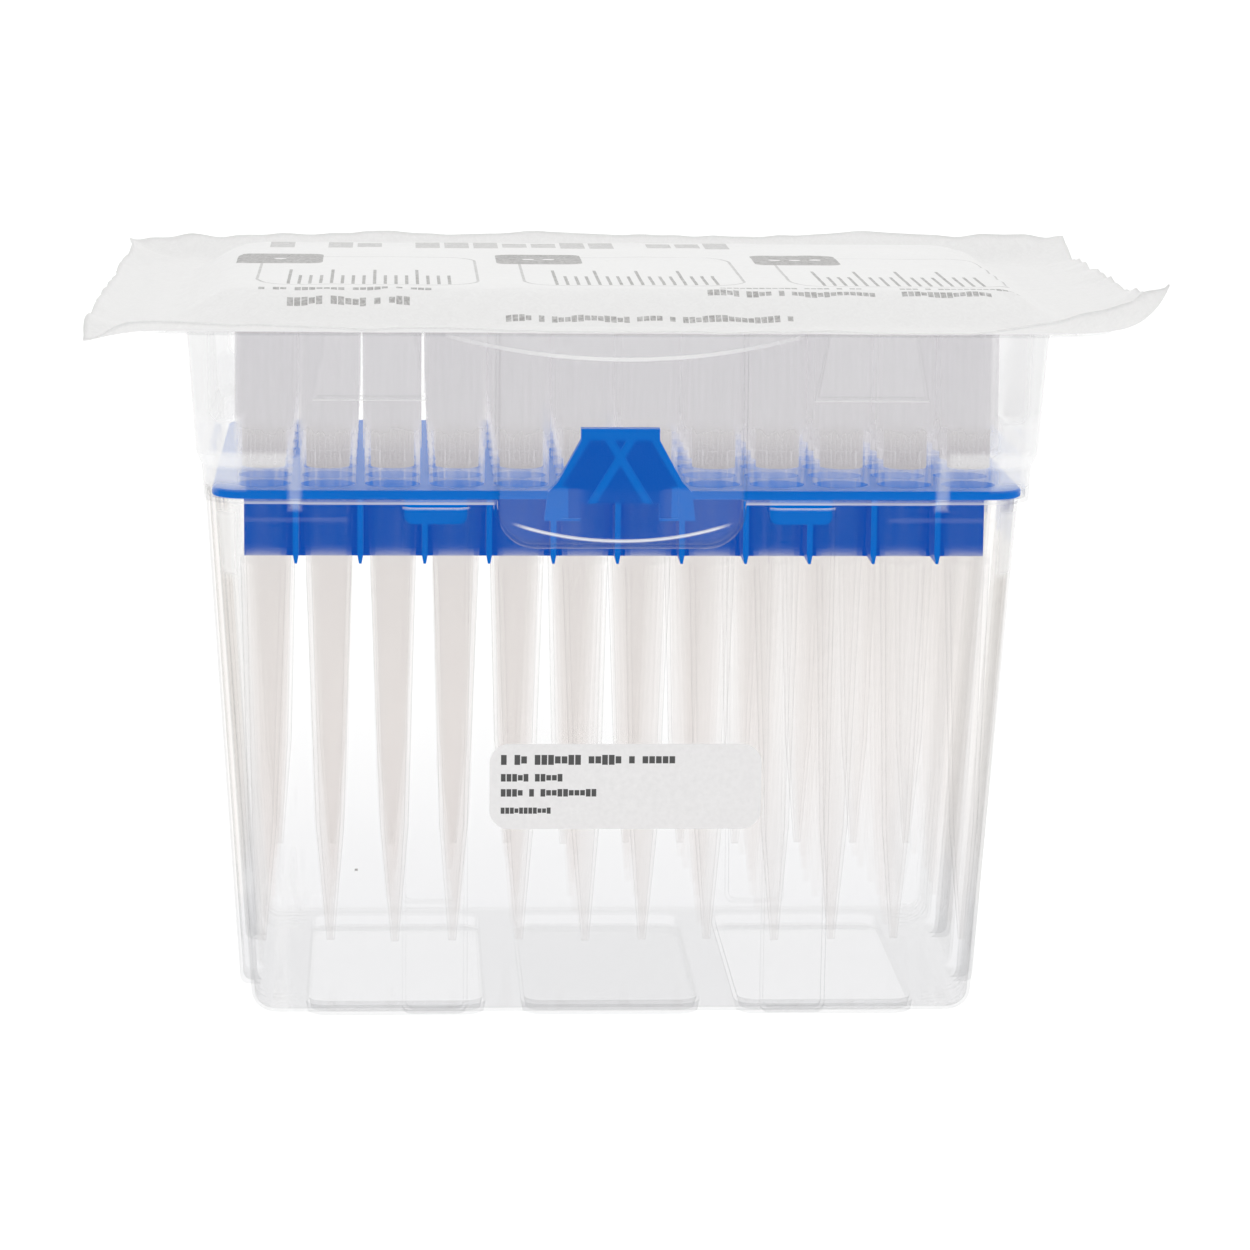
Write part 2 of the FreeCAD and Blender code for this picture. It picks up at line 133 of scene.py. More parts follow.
world = bpy.data.worlds.new("studio_room")
world.use_nodes = True
room = world.node_tree
room.nodes.clear()
towards = put(room, "TexCoord").outputs["Generated"]
side = split(room, towards)
fill = maths(room, "ADD", spread(room, side["Y"], fill_front_y, fill_back_y, front_fill, back_fill),
             spread(room, side["Z"], overhead_start, 1.0, 0.0, overhead_fill))
mirrored_level = spread(room, side["Y"], mirrored_front_y, mirrored_back_y, mirrored_front, mirrored_back)
for way, strength in soft_boxes:
    near = put(room, "VectorMath", {0: towards, 1: Vector(way).normalized()}, operation="DOT_PRODUCT")
    box_level = spread(room, near.outputs["Value"], rim_outside, rim_inside, 0.0, strength)
    mirrored_level = maths(room, "ADD", mirrored_level, box_level)
rays = put(room, "LightPath").outputs
lit = put(room, "Background", {"Color": white, "Strength": fill}).outputs[0]
shone = put(room, "Background", {"Color": white, "Strength": mirrored_level}).outputs[0]
seen = put(room, "Background", {"Color": white, "Strength": 1.0}).outputs[0]
unseen = mixed(room, rays["Is Glossy Ray"], lit, shone)
put(room, "OutputWorld", {"Surface": mixed(room, rays["Is Camera Ray"], unseen, seen)})
world.cycles.sampling_method = "NONE"

sensor_width, lens_length = 36.0, 131.04
camera_place = (-0.03175, -0.66341, 0.16805)
# In degrees: turn to the side, tilt up from level, and roll.
camera_turn, camera_tilt, camera_roll = -2.992, -9.884, 0.533

camera = bpy.data.cameras.new("camera")
camera.sensor_width = sensor_width
camera.lens = lens_length
camera.clip_start = 0.05
camera.clip_end = 30
camera_object = bpy.data.objects.new("camera", camera)
camera_object.matrix_world = (Matrix.Translation(camera_place)
                              @ Matrix.Rotation(math.radians(camera_turn), 4, "Z")
                              @ Matrix.Rotation(math.radians(90 + camera_tilt), 4, "X")
                              @ Matrix.Rotation(math.radians(camera_roll), 4, "Z"))
scene = bpy.context.scene
scene.world = world
scene.collection.objects.link(camera_object)
scene.camera = camera_object
scene.view_settings.view_transform = "Standard"
# A line of sight crosses up to eight tips, with four clear faces each, besides the tub.
scene.cycles.transparent_max_bounces = 128
scene.cycles.max_bounces = 4
scene.cycles.diffuse_bounces = 2
scene.cycles.glossy_bounces = 3
scene.cycles.sample_clamp_indirect = 4.0


# ---- tub ----------------------------------------------------------------------------------
# One clear polyester sheet, 0.5 mm thick, drawn over a mould: glossy and faintly wavy, whiter
# where it was drawn furthest, and scratched at its lower corners. Painted highlights run along some
# bends and edges, and painted shade where it is seen edge on. The lid is sealed on it.

def shader_group(name, takes, gives, parts_of):
    """A node group. parts_of(tree, inputs) returns its outputs by name."""
    tree = bpy.data.node_groups.new(name, "ShaderNodeTree")
    for socket, kind in takes:
        tree.interface.new_socket(socket, in_out="INPUT", socket_type="NodeSocket" + kind)
    for socket, kind in gives:
        tree.interface.new_socket(socket, in_out="OUTPUT", socket_type="NodeSocket" + kind)
    taken = tree.nodes.new("NodeGroupInput").outputs
    given = tree.nodes.new("NodeGroupOutput").inputs
    for socket, value in parts_of(tree, taken).items():
        tree.links.new(value, given[socket])
    return tree


def vectors(tree, operation, first, second=(0, 0, 0)):
    """The result of one Vector Math node."""
    made = put(tree, "VectorMath", {0: first, 1: second}, operation=operation)
    return made.outputs["Value" if operation in ("LENGTH", "DOT_PRODUCT") else "Vector"]


def toned(tree, share, first, second):
    """Mix of two colours: share of the second over the first."""
    return put(tree, "Mix", {0: share, 6: first, 7: second}, data_type="RGBA").outputs[2]


def bumped(tree, height, strength, distance):
    """The normal of a surface that height raises by up to distance."""
    return put(tree, "Bump", {"Height": height, "Strength": strength, "Distance": distance}).outputs[0]


def turned_away(tree):
    """0 where the surface faces the eye, and up to 1 where it is seen edge on."""
    return put(tree, "LayerWeight", {"Blend": 0.5}).outputs["Facing"]


def upward(tree):
    """1 where the surface faces up, 0 where it is upright and -1 where it faces down."""
    return split(tree, put(tree, "NewGeometry").outputs["Normal"])["Z"]


mirror_sharpness = 5.0


def mirror_share(tree, facing, front, edge, back):
    """How much a surface reflects: front straight on, by edge more edge on, and times back inside."""
    share = maths(tree, "MULTIPLY_ADD", maths(tree, "POWER", facing, mirror_sharpness), edge, front)
    behind = put(tree, "NewGeometry").outputs["Backfacing"]
    return maths(tree, "MULTIPLY", share, maths(tree, "MULTIPLY_ADD", behind, back - 1.0, 1.0))


def cloud_parts(tree, taken):
    """Noise at a place that is drawn out first."""
    drawn = vectors(tree, "MULTIPLY", taken["Place"], taken["Stretch"])
    clouds = put(tree, "TexNoise", {"Vector": drawn, "Scale": taken["Scale"], "Detail": 1.0})
    return {"Fac": clouds.outputs["Fac"]}


def past_half(tree, taken, half):
    """How far a place lies past half a box, on each axis."""
    off = vectors(tree, "SUBTRACT", taken["Place"], taken["Middle"])
    return vectors(tree, "SUBTRACT", vectors(tree, "ABSOLUTE", off), half)


def near_box_parts(tree, taken):
    """1 where no axis lies past half the box, and less over its soft rim."""
    past = split(tree, past_half(tree, taken, taken["Half"]))
    most = maths(tree, "MAXIMUM", maths(tree, "MAXIMUM", past["X"], past["Y"]), past["Z"])
    mask = put(tree, "MapRange", {0: most, 1: 0.0, 2: taken["Soft"], 3: 1.0, 4: 0.0},
               interpolation_type="SMOOTHSTEP")
    return {"Mask": mask.outputs[0]}


cloud_group = shader_group("drawn_cloud", [("Place", "Vector"), ("Stretch", "Vector"), ("Scale", "Float")],
                           [("Fac", "Float")], cloud_parts)
near_box_group = shader_group("near_box", [("Place", "Vector"), ("Middle", "Vector"), ("Half", "Vector"),
                                           ("Soft", "Float")], [("Mask", "Float")], near_box_parts)


def cloud(tree, place, scale, stretch=(1, 1, 1)):
    """A cloudy change of tone, 0 to 1, which may be drawn out along an axis."""
    return put(tree, "Group", {"Place": place, "Stretch": stretch, "Scale": scale},
               node_tree=cloud_group).outputs[0]


def near_box(tree, place, middle, half, soft):
    """1 inside a box, given by its middle and half its size, and 0 beyond its soft rim."""
    return put(tree, "Group", {"Place": place, "Middle": middle, "Half": half, "Soft": soft},
               node_tree=near_box_group).outputs[0]


# Boxes on the tub: middle, half size and soft rim. Each stands for all four quarters of the tub,
# apart from the tab's edge and the speck, which are there once.
corner_step = ((0.0569, 0.040, 0.0834), (0.0034, 0.004, 0.0036), 0.0022)
end_walls = ((0.0575, 0.0, 0.045), (0.0030, 0.036, 0.030), 0.002)
lower_corners = ((0.0515, 0.034, 0.011), (0.004, 0.012, 0.010), 0.004)
pocket_front = ((0.0, 0.0455, 0.0735), (0.0125, 0.0015, 0.004), 0.0030)
tab_edge = ((0.0, -0.0515, 0.0990), (0.0235, 0.0030, 0.0030), 0.0008)
speck = ((-0.0366, -0.0365, 0.0232), (0.00016, 0.004, 0.00008), 0.00012)
# Where the sheet was drawn furthest, each with its share of haze, and thin painted highlights along some
# bends.
haze_and_glint_places = [
    (((0.0, 0.0455, 0.0735), (0.0165, 0.004, 0.0055), 0.0006), 0.026),      # finger pocket
    (((0.0, 0.0455, 0.0760), (0.0045, 0.004, 0.0030), 0.0020), -0.022),     # its middle, clear again
    (((0.0514, 0.040, 0.0823), (0.0050, 0.004, 0.0006), 0.0010), 0.26),     # along the corner step
    (corner_step, 0.36),
    (((0.0450, 0.040, 0.0790), (0.0003, 0.004, 0.0034), 0.0010), 0.15),     # side of the corner band
    (((0.0595, 0.000, 0.0905), (0.0020, 0.046, 0.0112), 0.0020), 0.38),     # upper end walls
    # A painted highlight along the bend of the ledge.
    (((0.0, 0.0400, 0.0761), (0.060, 0.0006, 0.0003), 0.0005), 0.38),       # bend of the ledge
    (((0.0558, 0.040, 0.0704), (0.0018, 0.004, 0.0036), 0.0022), 0.36),     # corners below the ledge
    (((0.0455, 0.040, 0.0737), (0.0075, 0.004, 0.0001), 0.0004), 0.025),    # faint line beside them
    (((0.0345, 0.0440, 0.0960), (0.0075, 0.0012, 0.0045), 0.0010), 0.04),   # lugs for nested tubs
    # Painted highlights along the lugs' lower edges.
    (((0.0345, 0.0440, 0.0910), (0.0079, 0.0010, 0.00005), 0.0003), 0.36),  # their lower edges
    # A painted highlight along the bend of the thumb tab.
    (((0.0, 0.0520, 0.0995), (0.0240, 0.0016, 0.0017), 0.0006), 0.10)]      # bend of the thumb tab
# A painted highlight runs along the pocket's front bend, a shallow curve which climbs with the square of x.
glint_curve_low, glint_curve_rise = 0.0720, 10.8
glint_core, glint_rim = 0.00005, 0.00028
pocket_glint = 0.6
# A painted highlight along the tab's cut edge, strongest in the middle.
tab_middle, tab_end = 0.006, 0.0240
tab_glint_middle, tab_glint_end = 0.55, 0.08
upright_below, level_above = 0.4, 0.5
scratch_scale, scratch_stretch = 420.0, (1.0, 1.0, 0.16)
scratch_start, scratch_full, scratch_haze = 0.52, 0.64, 0.22
bloom_scale, bloom_start, bloom_full, bloom_haze = 900.0, 0.45, 0.8, 0.003
wave_scale, wave_stretch, wave_height = 60.0, (1.0, 1.0, 0.25), 0.0003
foot_grey_low, foot_grey_high = 0.010, 0.046
panel_low, panel_high = 0.083, 0.087
# What one thickness lets through at each place, and the painted shade where it is seen edge on.
wall_tone, panel_tone = (0.986, 0.986, 0.985, 1), (0.982, 0.982, 0.983, 1)
foot_tone, end_tone = (0.946, 0.946, 0.949, 1), (0.972, 0.966, 0.960, 1)
step_tone, speck_tone = (0.955, 0.955, 0.965, 1), (0.62, 0.61, 0.60, 1)
edge_on_shade_tone, edge_sharpness = (0.84, 0.84, 0.84, 1), 4.0
# The white of the haze and of the painted highlights.
haze_and_glint_colour = (0.93, 0.93, 0.93, 1)


def tub_tone(tree, place, mirrored, facing):
    """What the clear sheet lets through, darkened as painted shade where it is seen edge on."""
    height = split(tree, place)["Z"]
    tone = toned(tree, spread(tree, height, panel_low, panel_high, 0.0, 1.0), wall_tone, panel_tone)
    tone = toned(tree, spread(tree, height, foot_grey_low, foot_grey_high, 1.0, 0.0), tone, foot_tone)
    tone = toned(tree, near_box(tree, mirrored, *end_walls), tone, end_tone)
    tone = toned(tree, near_box(tree, mirrored, *corner_step), tone, step_tone)
    tone = toned(tree, near_box(tree, place, *speck), tone, speck_tone)
    return toned(tree, maths(tree, "POWER", facing, edge_sharpness), tone, edge_on_shade_tone)


def tub_haze_and_glints(tree, place, mirrored):
    """Share of white haze at drawn places and scratches, and of painted highlights along bends, the pocket's
    front bend and the tab's cut edge.
    """
    haze_and_glint_share = spread(tree, cloud(tree, place, bloom_scale), bloom_start, bloom_full, 0.0, bloom_haze)
    for place_box, place_share in haze_and_glint_places:
        haze_and_glint_share = maths(tree, "MULTIPLY_ADD", near_box(tree, mirrored, *place_box), place_share, haze_and_glint_share)
    parts = split(tree, mirrored)
    curve = maths(tree, "MULTIPLY_ADD", maths(tree, "POWER", parts["X"], 2.0), glint_curve_rise, glint_curve_low)
    from_glint_curve = maths(tree, "ABSOLUTE", maths(tree, "SUBTRACT", parts["Z"], curve))
    pocket_glint_here = spread(tree, from_glint_curve, glint_core, glint_rim, pocket_glint, 0.0)
    haze_and_glint_share = maths(tree, "MULTIPLY_ADD", pocket_glint_here, near_box(tree, mirrored, *pocket_front), haze_and_glint_share)
    upright = spread(tree, maths(tree, "ABSOLUTE", upward(tree)), upright_below, level_above, 1.0, 0.0)
    tab_glint_here = maths(tree, "MULTIPLY", near_box(tree, place, *tab_edge), upright)
    along_tab = spread(tree, parts["X"], tab_middle, tab_end, tab_glint_middle, tab_glint_end)
    haze_and_glint_share = maths(tree, "MULTIPLY_ADD", tab_glint_here, along_tab, haze_and_glint_share)
    rubbed = cloud(tree, place, scratch_scale, scratch_stretch)
    scratches = spread(tree, rubbed, scratch_start, scratch_full, 0.0, scratch_haze)
    return maths(tree, "MULTIPLY_ADD", scratches, near_box(tree, mirrored, *lower_corners), haze_and_glint_share, clamp=True)


def tub_surface(tree):
    """Clear sheet under a thin haze with painted highlights, and a wavy gloss."""
    place = own_place(tree)
    mirrored = vectors(tree, "ABSOLUTE", place)
    facing = turned_away(tree)
    clear = put(tree, "BsdfTransparent", {"Color": tub_tone(tree, place, mirrored, facing)}).outputs[0]
    haze_and_glint_bsdf = put(tree, "BsdfDiffuse", {"Color": haze_and_glint_colour}).outputs[0]
    body = mixed(tree, tub_haze_and_glints(tree, place, mirrored), clear, haze_and_glint_bsdf)
    normal = bumped(tree, cloud(tree, place, wave_scale, wave_stretch), 1.0, wave_height)
    gloss = put(tree, "BsdfGlossy", {"Color": white, "Roughness": 0.06, "Normal": normal}).outputs[0]
    return mixed(tree, mirror_share(tree, facing, front=0.004, edge=0.50, back=0.15), body, gloss)


def finish_node(node, material):
    """Gives a CAD node its material."""
    nodes[node].data.materials.clear()
    nodes[node].data.materials.append(material)


finish_node("tub", new_material("clear_sheet", tub_surface))


# ---- rack ---------------------------------------------------------------------------------
# One blue polypropylene moulding, glossy on its deck, with faint flow marks from the mould. It
# is painted darker as shade in the recess behind the ribs of each handle, and darkest as painted
# shade among the webs under the deck.

handle_plate = 0.0395                   # from the middle to just behind the plate's face
handle_ribs = 0.0398                    # and to just behind the faces of the ribs and the border
web_ends = 0.0343                       # and to just behind the ends of the webs
web_zone_top = 0.0765
web_pitch = 0.009
web_shade_near, web_shade_far = 0.0012, 0.0022
recess_foot = 0.0787                    # above the legs, and between them down to their arch
leg_inside = 0.0062
# Shares of painted shade: in a handle's recess, beside the webs and midway between them; the darkest blue is
# the painted shade.
recess_painted_shade, beside_web_painted_shade, between_webs_painted_shade = 0.70, 1.0, 0.84
blue_dull, blue_bright, blue_in_painted_shade = (0.0, 0.132, 0.55, 1), (0.0, 0.155, 0.63, 1), (0.0, 0.068, 0.425, 1)
flow_scale, grain_scale, grain_height = 90.0, 2500.0, 0.00004
gloss_fine, gloss_coarse = 0.16, 0.30
deck_slope, deck_level = 0.97, 0.995    # how far up a face looks on the deck's rims and on its top
side_polish, deck_polish = 0.35, 0.6


def within(tree, value, low, high):
    """1 between low and high, and 0 elsewhere."""
    return maths(tree, "MULTIPLY", maths(tree, "GREATER_THAN", value, low),
                 maths(tree, "LESS_THAN", value, high))


def rack_painted_shade(tree, place):
    """Painted shade: 0 on the open faces, and more in the recesses of the handles and between the webs."""
    parts = split(tree, place)
    out = maths(tree, "ABSOLUTE", parts["Y"])
    foot = spread(tree, maths(tree, "ABSOLUTE", parts["X"]), leg_inside, leg_inside + MM, 0.0, recess_foot)
    recess = maths(tree, "MULTIPLY", within(tree, out, handle_plate, handle_ribs),
                   maths(tree, "GREATER_THAN", parts["Z"], foot))
    under = maths(tree, "MULTIPLY", maths(tree, "LESS_THAN", out, web_ends),
                  maths(tree, "LESS_THAN", parts["Z"], web_zone_top))
    from_web = maths(tree, "PINGPONG", parts["X"], web_pitch / 2)
    shade = spread(tree, from_web, web_shade_near, web_shade_far, beside_web_painted_shade, between_webs_painted_shade)
    return maths(tree, "MULTIPLY_ADD", recess, recess_painted_shade, maths(tree, "MULTIPLY", under, shade))


def rack_surface(tree):
    """Blue with flow marks and painted shade, under a gloss that is strongest on the deck."""
    place = own_place(tree)
    flow = cloud(tree, place, flow_scale)
    colour = toned(tree, rack_painted_shade(tree, place), toned(tree, flow, blue_dull, blue_bright), blue_in_painted_shade)
    normal = bumped(tree, cloud(tree, place, grain_scale), 0.4, grain_height)
    body = put(tree, "BsdfPrincipled", {"Base Color": colour, "Roughness": 0.6, "Normal": normal,
                                        "Specular IOR Level": 0.01}).outputs[0]
    rough = spread(tree, flow, 0.0, 1.0, gloss_fine, gloss_coarse)
    gloss = put(tree, "BsdfGlossy", {"Color": white, "Roughness": rough, "Normal": normal}).outputs[0]
    polish = spread(tree, upward(tree), deck_slope, deck_level, side_polish, deck_polish)
    return mixed(tree, mirror_share(tree, turned_away(tree), front=0.002, edge=polish, back=1.0), body, gloss)


finish_node("rack", new_material("rack_blue", rack_surface))


# ---- tips ---------------------------------------------------------------------------------
# Natural polypropylene, translucent and slightly warm. Light passes through each wall; the
# thicker heads are milkier than the tapered ends, and the outer rows show most. The heads are
# painted darker as shade under the lid, and the edges of the tips in the outer rows carry painted shade.

# Heights above the table: the rack's webs and deck, then places on a tip.
web_foot, deck_under, deck_top = 0.0670, 0.0767, 0.0779
web_blur = 0.0004
web_fade = 0.0024                       # the shanks clear over this height among the webs
sleeve_low, sleeve_high = 0.0802, 0.0822
collar_top, head_start = 0.0832, 0.0865
shank_low, shank_middle, shank_high = 0.0170, 0.0450, 0.0660
inner_low = shank_low + 7 * MM
outer_rows = 0.0270                     # from the middle to between the last two rows of a column
shank_dull, shank_bright = (0.70, 0.676, 0.667, 1), (0.78, 0.756, 0.746, 1)
# The heads' tone is darker partly as painted shade under the lid.
collar_tone, head_tone_and_lid_shade = (0.74, 0.73, 0.77, 1), (0.655, 0.645, 0.665, 1)
# The outline tone is painted shade along the edges of a tip.
clear_tone, tip_edge_shade_tone = (0.996, 0.994, 0.993, 1), (0.30, 0.30, 0.31, 1)
streak_scale, streak_stretch = 700.0, (1.0, 1.0, 0.06)
# Shares of light that one face scatters: a line of sight crosses four of them in each tip.
shank_low_share, shank_high_share = 0.006, 0.057
outer_low_more, outer_middle_more = 0.062, 0.026
fading_share, web_streak_least, web_streak_most = 0.30, 0.001, 0.013
rib_least, rib_most, sleeve_more, head_more = 0.036, 0.074, 0.15, 0.16
streak_start, streak_full, rib_start, rib_full = 0.5, 0.72, 0.35, 0.65
turned_share, turned_share_in_webs, turned_share_inner = 0.10, 0.01, 0.25
outline_low, outline_middle = 0.016, 0.05
outline_strong, outline_weak = 0.7, 0.42
inner_sheen, outer_sheen_more = 0.005, 0.025
fading_sharpness, turned_sharpness, outline_sharpness = 3.0, 3.0, 8.0


def tip_milkiness(tree, height, streaks, in_collar, in_head, outer_row):
    """Share of light that the wall scatters, seen straight on."""
    outer = spread(tree, height, shank_low, shank_middle, outer_low_more, outer_middle_more)
    inner = spread(tree, height, inner_low, shank_high, shank_low_share, shank_high_share)
    shank = maths(tree, "MULTIPLY_ADD", outer_row, outer, inner)
    below = spread(tree, height, web_foot - web_blur, web_foot + web_blur, 1.0, 0.0)
    fading = spread(tree, height, web_foot, web_foot + web_fade, 1.0, 0.0)
    fading = maths(tree, "POWER", fading, fading_sharpness)
    web_streaks = spread(tree, streaks, streak_start, streak_full, web_streak_least, web_streak_most)
    in_webs = maths(tree, "MULTIPLY", maths(tree, "MULTIPLY_ADD", fading, fading_share, web_streaks),
                    maths(tree, "SUBTRACT", 1.0, below))
    milky = maths(tree, "MULTIPLY_ADD", shank, below, in_webs)
    ribs = spread(tree, streaks, rib_start, rib_full, rib_least, rib_most)
    sleeve = maths(tree, "ADD", ribs, spread(tree, height, sleeve_low, sleeve_high, 0.0, sleeve_more))
    milky = maths(tree, "MULTIPLY_ADD", in_collar, sleeve, milky)
    return maths(tree, "MULTIPLY_ADD", in_head, head_more, milky)


def tip_outline(tree, height, facing, outer_row, under_foot):
    """Share of painted shade along the edges of a tip, which shows in the outer rows below the webs."""
    strength = spread(tree, height, outline_low, outline_middle, outline_strong, outline_weak)
    outline = maths(tree, "MULTIPLY", maths(tree, "POWER", facing, outline_sharpness), strength)
    outline = maths(tree, "MULTIPLY", outline, spread(tree, height, under_foot, web_foot, 1.0, 0.0))
    return maths(tree, "MULTIPLY", outline, outer_row)


def tip_surface(tree):
    """Clear wall that scatters part of the light, both back and through, with painted shade at its edges."""
    place = own_place(tree)
    parts = split(tree, place)
    height = parts["Z"]
    facing = turned_away(tree)
    under_foot = web_foot - MM
    outer_row = maths(tree, "GREATER_THAN", maths(tree, "ABSOLUTE", parts["Y"]), outer_rows)
    streaks = cloud(tree, place, streak_scale, streak_stretch)
    in_collar = spread(tree, height, deck_under, deck_top, 0.0, 1.0)
    in_head = spread(tree, height, collar_top, head_start, 0.0, 1.0)
    colour = toned(tree, in_collar, toned(tree, streaks, shank_dull, shank_bright),
                   toned(tree, in_head, collar_tone, head_tone_and_lid_shade))
    turned = maths(tree, "MULTIPLY", maths(tree, "POWER", facing, turned_sharpness),
                   spread(tree, height, under_foot, web_foot, turned_share, turned_share_in_webs))
    by_row = maths(tree, "MULTIPLY_ADD", outer_row, 1 - turned_share_inner, turned_share_inner)
    turned = maths(tree, "MULTIPLY", turned, by_row)
    milky = tip_milkiness(tree, height, streaks, in_collar, in_head, outer_row)
    outline = tip_outline(tree, height, facing, outer_row, under_foot)
    tone = toned(tree, outline, clear_tone, tip_edge_shade_tone)
    clear = put(tree, "BsdfTransparent", {"Color": tone}).outputs[0]
    scattered = put(tree, "BsdfDiffuse", {"Color": colour}).outputs[0]
    through = put(tree, "BsdfTranslucent", {"Color": colour}).outputs[0]
    body = mixed(tree, maths(tree, "ADD", turned, milky), clear, mixed(tree, 0.5, scattered, through))
    gloss = put(tree, "BsdfGlossy", {"Color": white, "Roughness": 0.22}).outputs[0]
    sheen = maths(tree, "MULTIPLY_ADD", outer_row, outer_sheen_more, inner_sheen)
    return mixed(tree, mirror_share(tree, facing, front=0.004, edge=sheen, back=0.2), body, gloss)


tip_material = new_material("tip_natural", tip_surface)
tip_nodes = [name for name in nodes if name.startswith("tips_column")]
for name in tip_nodes:
    finish_node(name, tip_material)


# ---- filters ------------------------------------------------------------------------------
# Sintered polyethylene beads, pressed into the tips: off-white, matt and porous. Less light
# reaches them towards the deck.

bead_scale, bead_height, bead_darkening = 3500.0, 0.0001, -0.4
filter_foot, filter_middle = 0.0822, 0.0852
foot_light, middle_light = 0.3, 1.0
filter_shade, filter_white = (0.45, 0.43, 0.45, 1), (0.64, 0.62, 0.62, 1)


def filter_surface(tree):
    """Matt beads, greyer between them and towards the deck."""
    place = own_place(tree)
    beads = put(tree, "TexVoronoi", {"Vector": place, "Scale": bead_scale}).outputs["Distance"]
    light = spread(tree, split(tree, place)["Z"], filter_foot, filter_middle, foot_light, middle_light)
    light = maths(tree, "MULTIPLY_ADD", beads, bead_darkening, light)
    colour = toned(tree, light, filter_shade, filter_white)
    return put(tree, "BsdfPrincipled", {"Base Color": colour, "Roughness": 0.9, "Specular IOR Level": 0.1,
                                        "Normal": bumped(tree, beads, 0.6, bead_height)}).outputs[0]


filter_material = new_material("filter_white", filter_surface)
for name in nodes:
    if name.startswith("filters_column"):
        finish_node(name, filter_material)


# ---- label --------------------------------------------------------------------------------
# A light grey film label, stuck on the front wall of the tub. Its print is plain broken bars,
# which say nothing. Print is laid out in mm.

bar_gap_share = 0.16                    # of the places in a row that stay empty
bar_width_share = 0.84                  # of each place that its bar fills
bar_half_short, bar_tall_more, bar_short_share = 0.36, 0.14, 0.6


def bar_row_parts(tree, taken):
    """One row of bars of two heights, with some of them missing."""
    off = split(tree, vectors(tree, "SUBTRACT", taken["Place"], taken["Start"]))
    across = maths(tree, "DIVIDE", off["X"], taken["Letter"])
    up = maths(tree, "ABSOLUTE", maths(tree, "DIVIDE", off["Y"], taken["Height"]))
    count = maths(tree, "FLOOR", across)
    word = put(tree, "TexWhiteNoise", {"W": maths(tree, "ADD", count, taken["Seed"])}, noise_dimensions="1D")
    uneven = put(tree, "TexWhiteNoise", {"W": maths(tree, "ADD", count, 0.5)}, noise_dimensions="1D")
    tall = maths(tree, "GREATER_THAN", uneven.outputs["Value"], bar_short_share)
    half = maths(tree, "MULTIPLY_ADD", tall, bar_tall_more, bar_half_short)
    mask = maths(tree, "GREATER_THAN", word.outputs["Value"], bar_gap_share)
    in_bar = maths(tree, "LESS_THAN", maths(tree, "FRACT", across), bar_width_share)
    mask = maths(tree, "MULTIPLY", mask, in_bar)
    mask = maths(tree, "MULTIPLY", mask, maths(tree, "LESS_THAN", up, half))
    return {"Mask": maths(tree, "MULTIPLY", mask, within(tree, off["X"], 0.0, taken["Length"]))}


bar_row_group = shader_group("bar_row", [("Place", "Vector"), ("Start", "Vector"), ("Length", "Float"),
                                         ("Height", "Float"), ("Letter", "Float"), ("Seed", "Float")],
                             [("Mask", "Float")], bar_row_parts)


def bar_rows(tree, place, rows):
    """Print mask of rows of broken bars: start x, y, length, height and width of a bar, in mm."""
    total = 0.0
    for seed, (x, y, length, height, letter) in enumerate(rows):
        row = put(tree, "Group", {"Place": place, "Start": (x, y, 0.0), "Length": length, "Height": height,
                                  "Letter": letter, "Seed": seed * 7.0}, node_tree=bar_row_group).outputs[0]
        total = maths(tree, "MAXIMUM", row, total)
    return total


label_low, label_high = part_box("label")
text_left, label_top = label_low.x / MM + 1.6, label_high.z / MM
label_rows = [(text_left, label_top - 2.3, 24.7, 1.45, 0.95),
              (text_left, label_top - 4.9, 8.8, 1.1, 0.8),
              (text_left, label_top - 7.1, 13.6, 1.1, 0.8),
              (text_left, label_top - 9.7, 7.15, 0.9, 0.65)]
film_scale = 1500.0
film_dull, film_bright, label_ink = (0.76, 0.75, 0.75, 1), (0.85, 0.84, 0.84, 1), (0.06, 0.06, 0.06, 1)


def label_surface(tree):
    """Faintly mottled film with near-black bars."""
    place = own_place(tree)
    parts = split(tree, place)
    across, up = maths(tree, "DIVIDE", parts["X"], MM), maths(tree, "DIVIDE", parts["Z"], MM)
    flat = put(tree, "CombineXYZ", {0: across, 1: up}).outputs[0]
    film = toned(tree, cloud(tree, place, film_scale), film_dull, film_bright)
    colour = toned(tree, bar_rows(tree, flat, label_rows), film, label_ink)
    return put(tree, "BsdfPrincipled", {"Base Color": colour, "Roughness": 0.45}).outputs[0]


finish_node("label", new_material("label_film", label_surface))


# ---- lid ----------------------------------------------------------------------------------
# A white nonwoven sheet, heat-sealed on the flange and held up like a tent by the tip tops. Its
# cut edges are free and curl. One thin sheet of bonded fibres, with grey print. Sizes are in mm.

sheet_thick = 0.22
cut_left, cut_right, cut_front, cut_back = -73.0, 76.0, -54.0, 57.0
flange_half = (68.0, 50.0)
flange_round = 11.0
flange_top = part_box("lid")[0].z / MM + 0.12
tent_top = max(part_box(name)[1].z for name in tip_nodes) / MM + 0.2
tent_reach = 10.0
tent_least = 0.02                       # the tent stays this far above the flange
heads_half = (53.7, 35.7)
heads_round = 4.2
tip_pitch = 9.0
slope_start = 0.4                       # the slope starts this far inside the outline of the heads
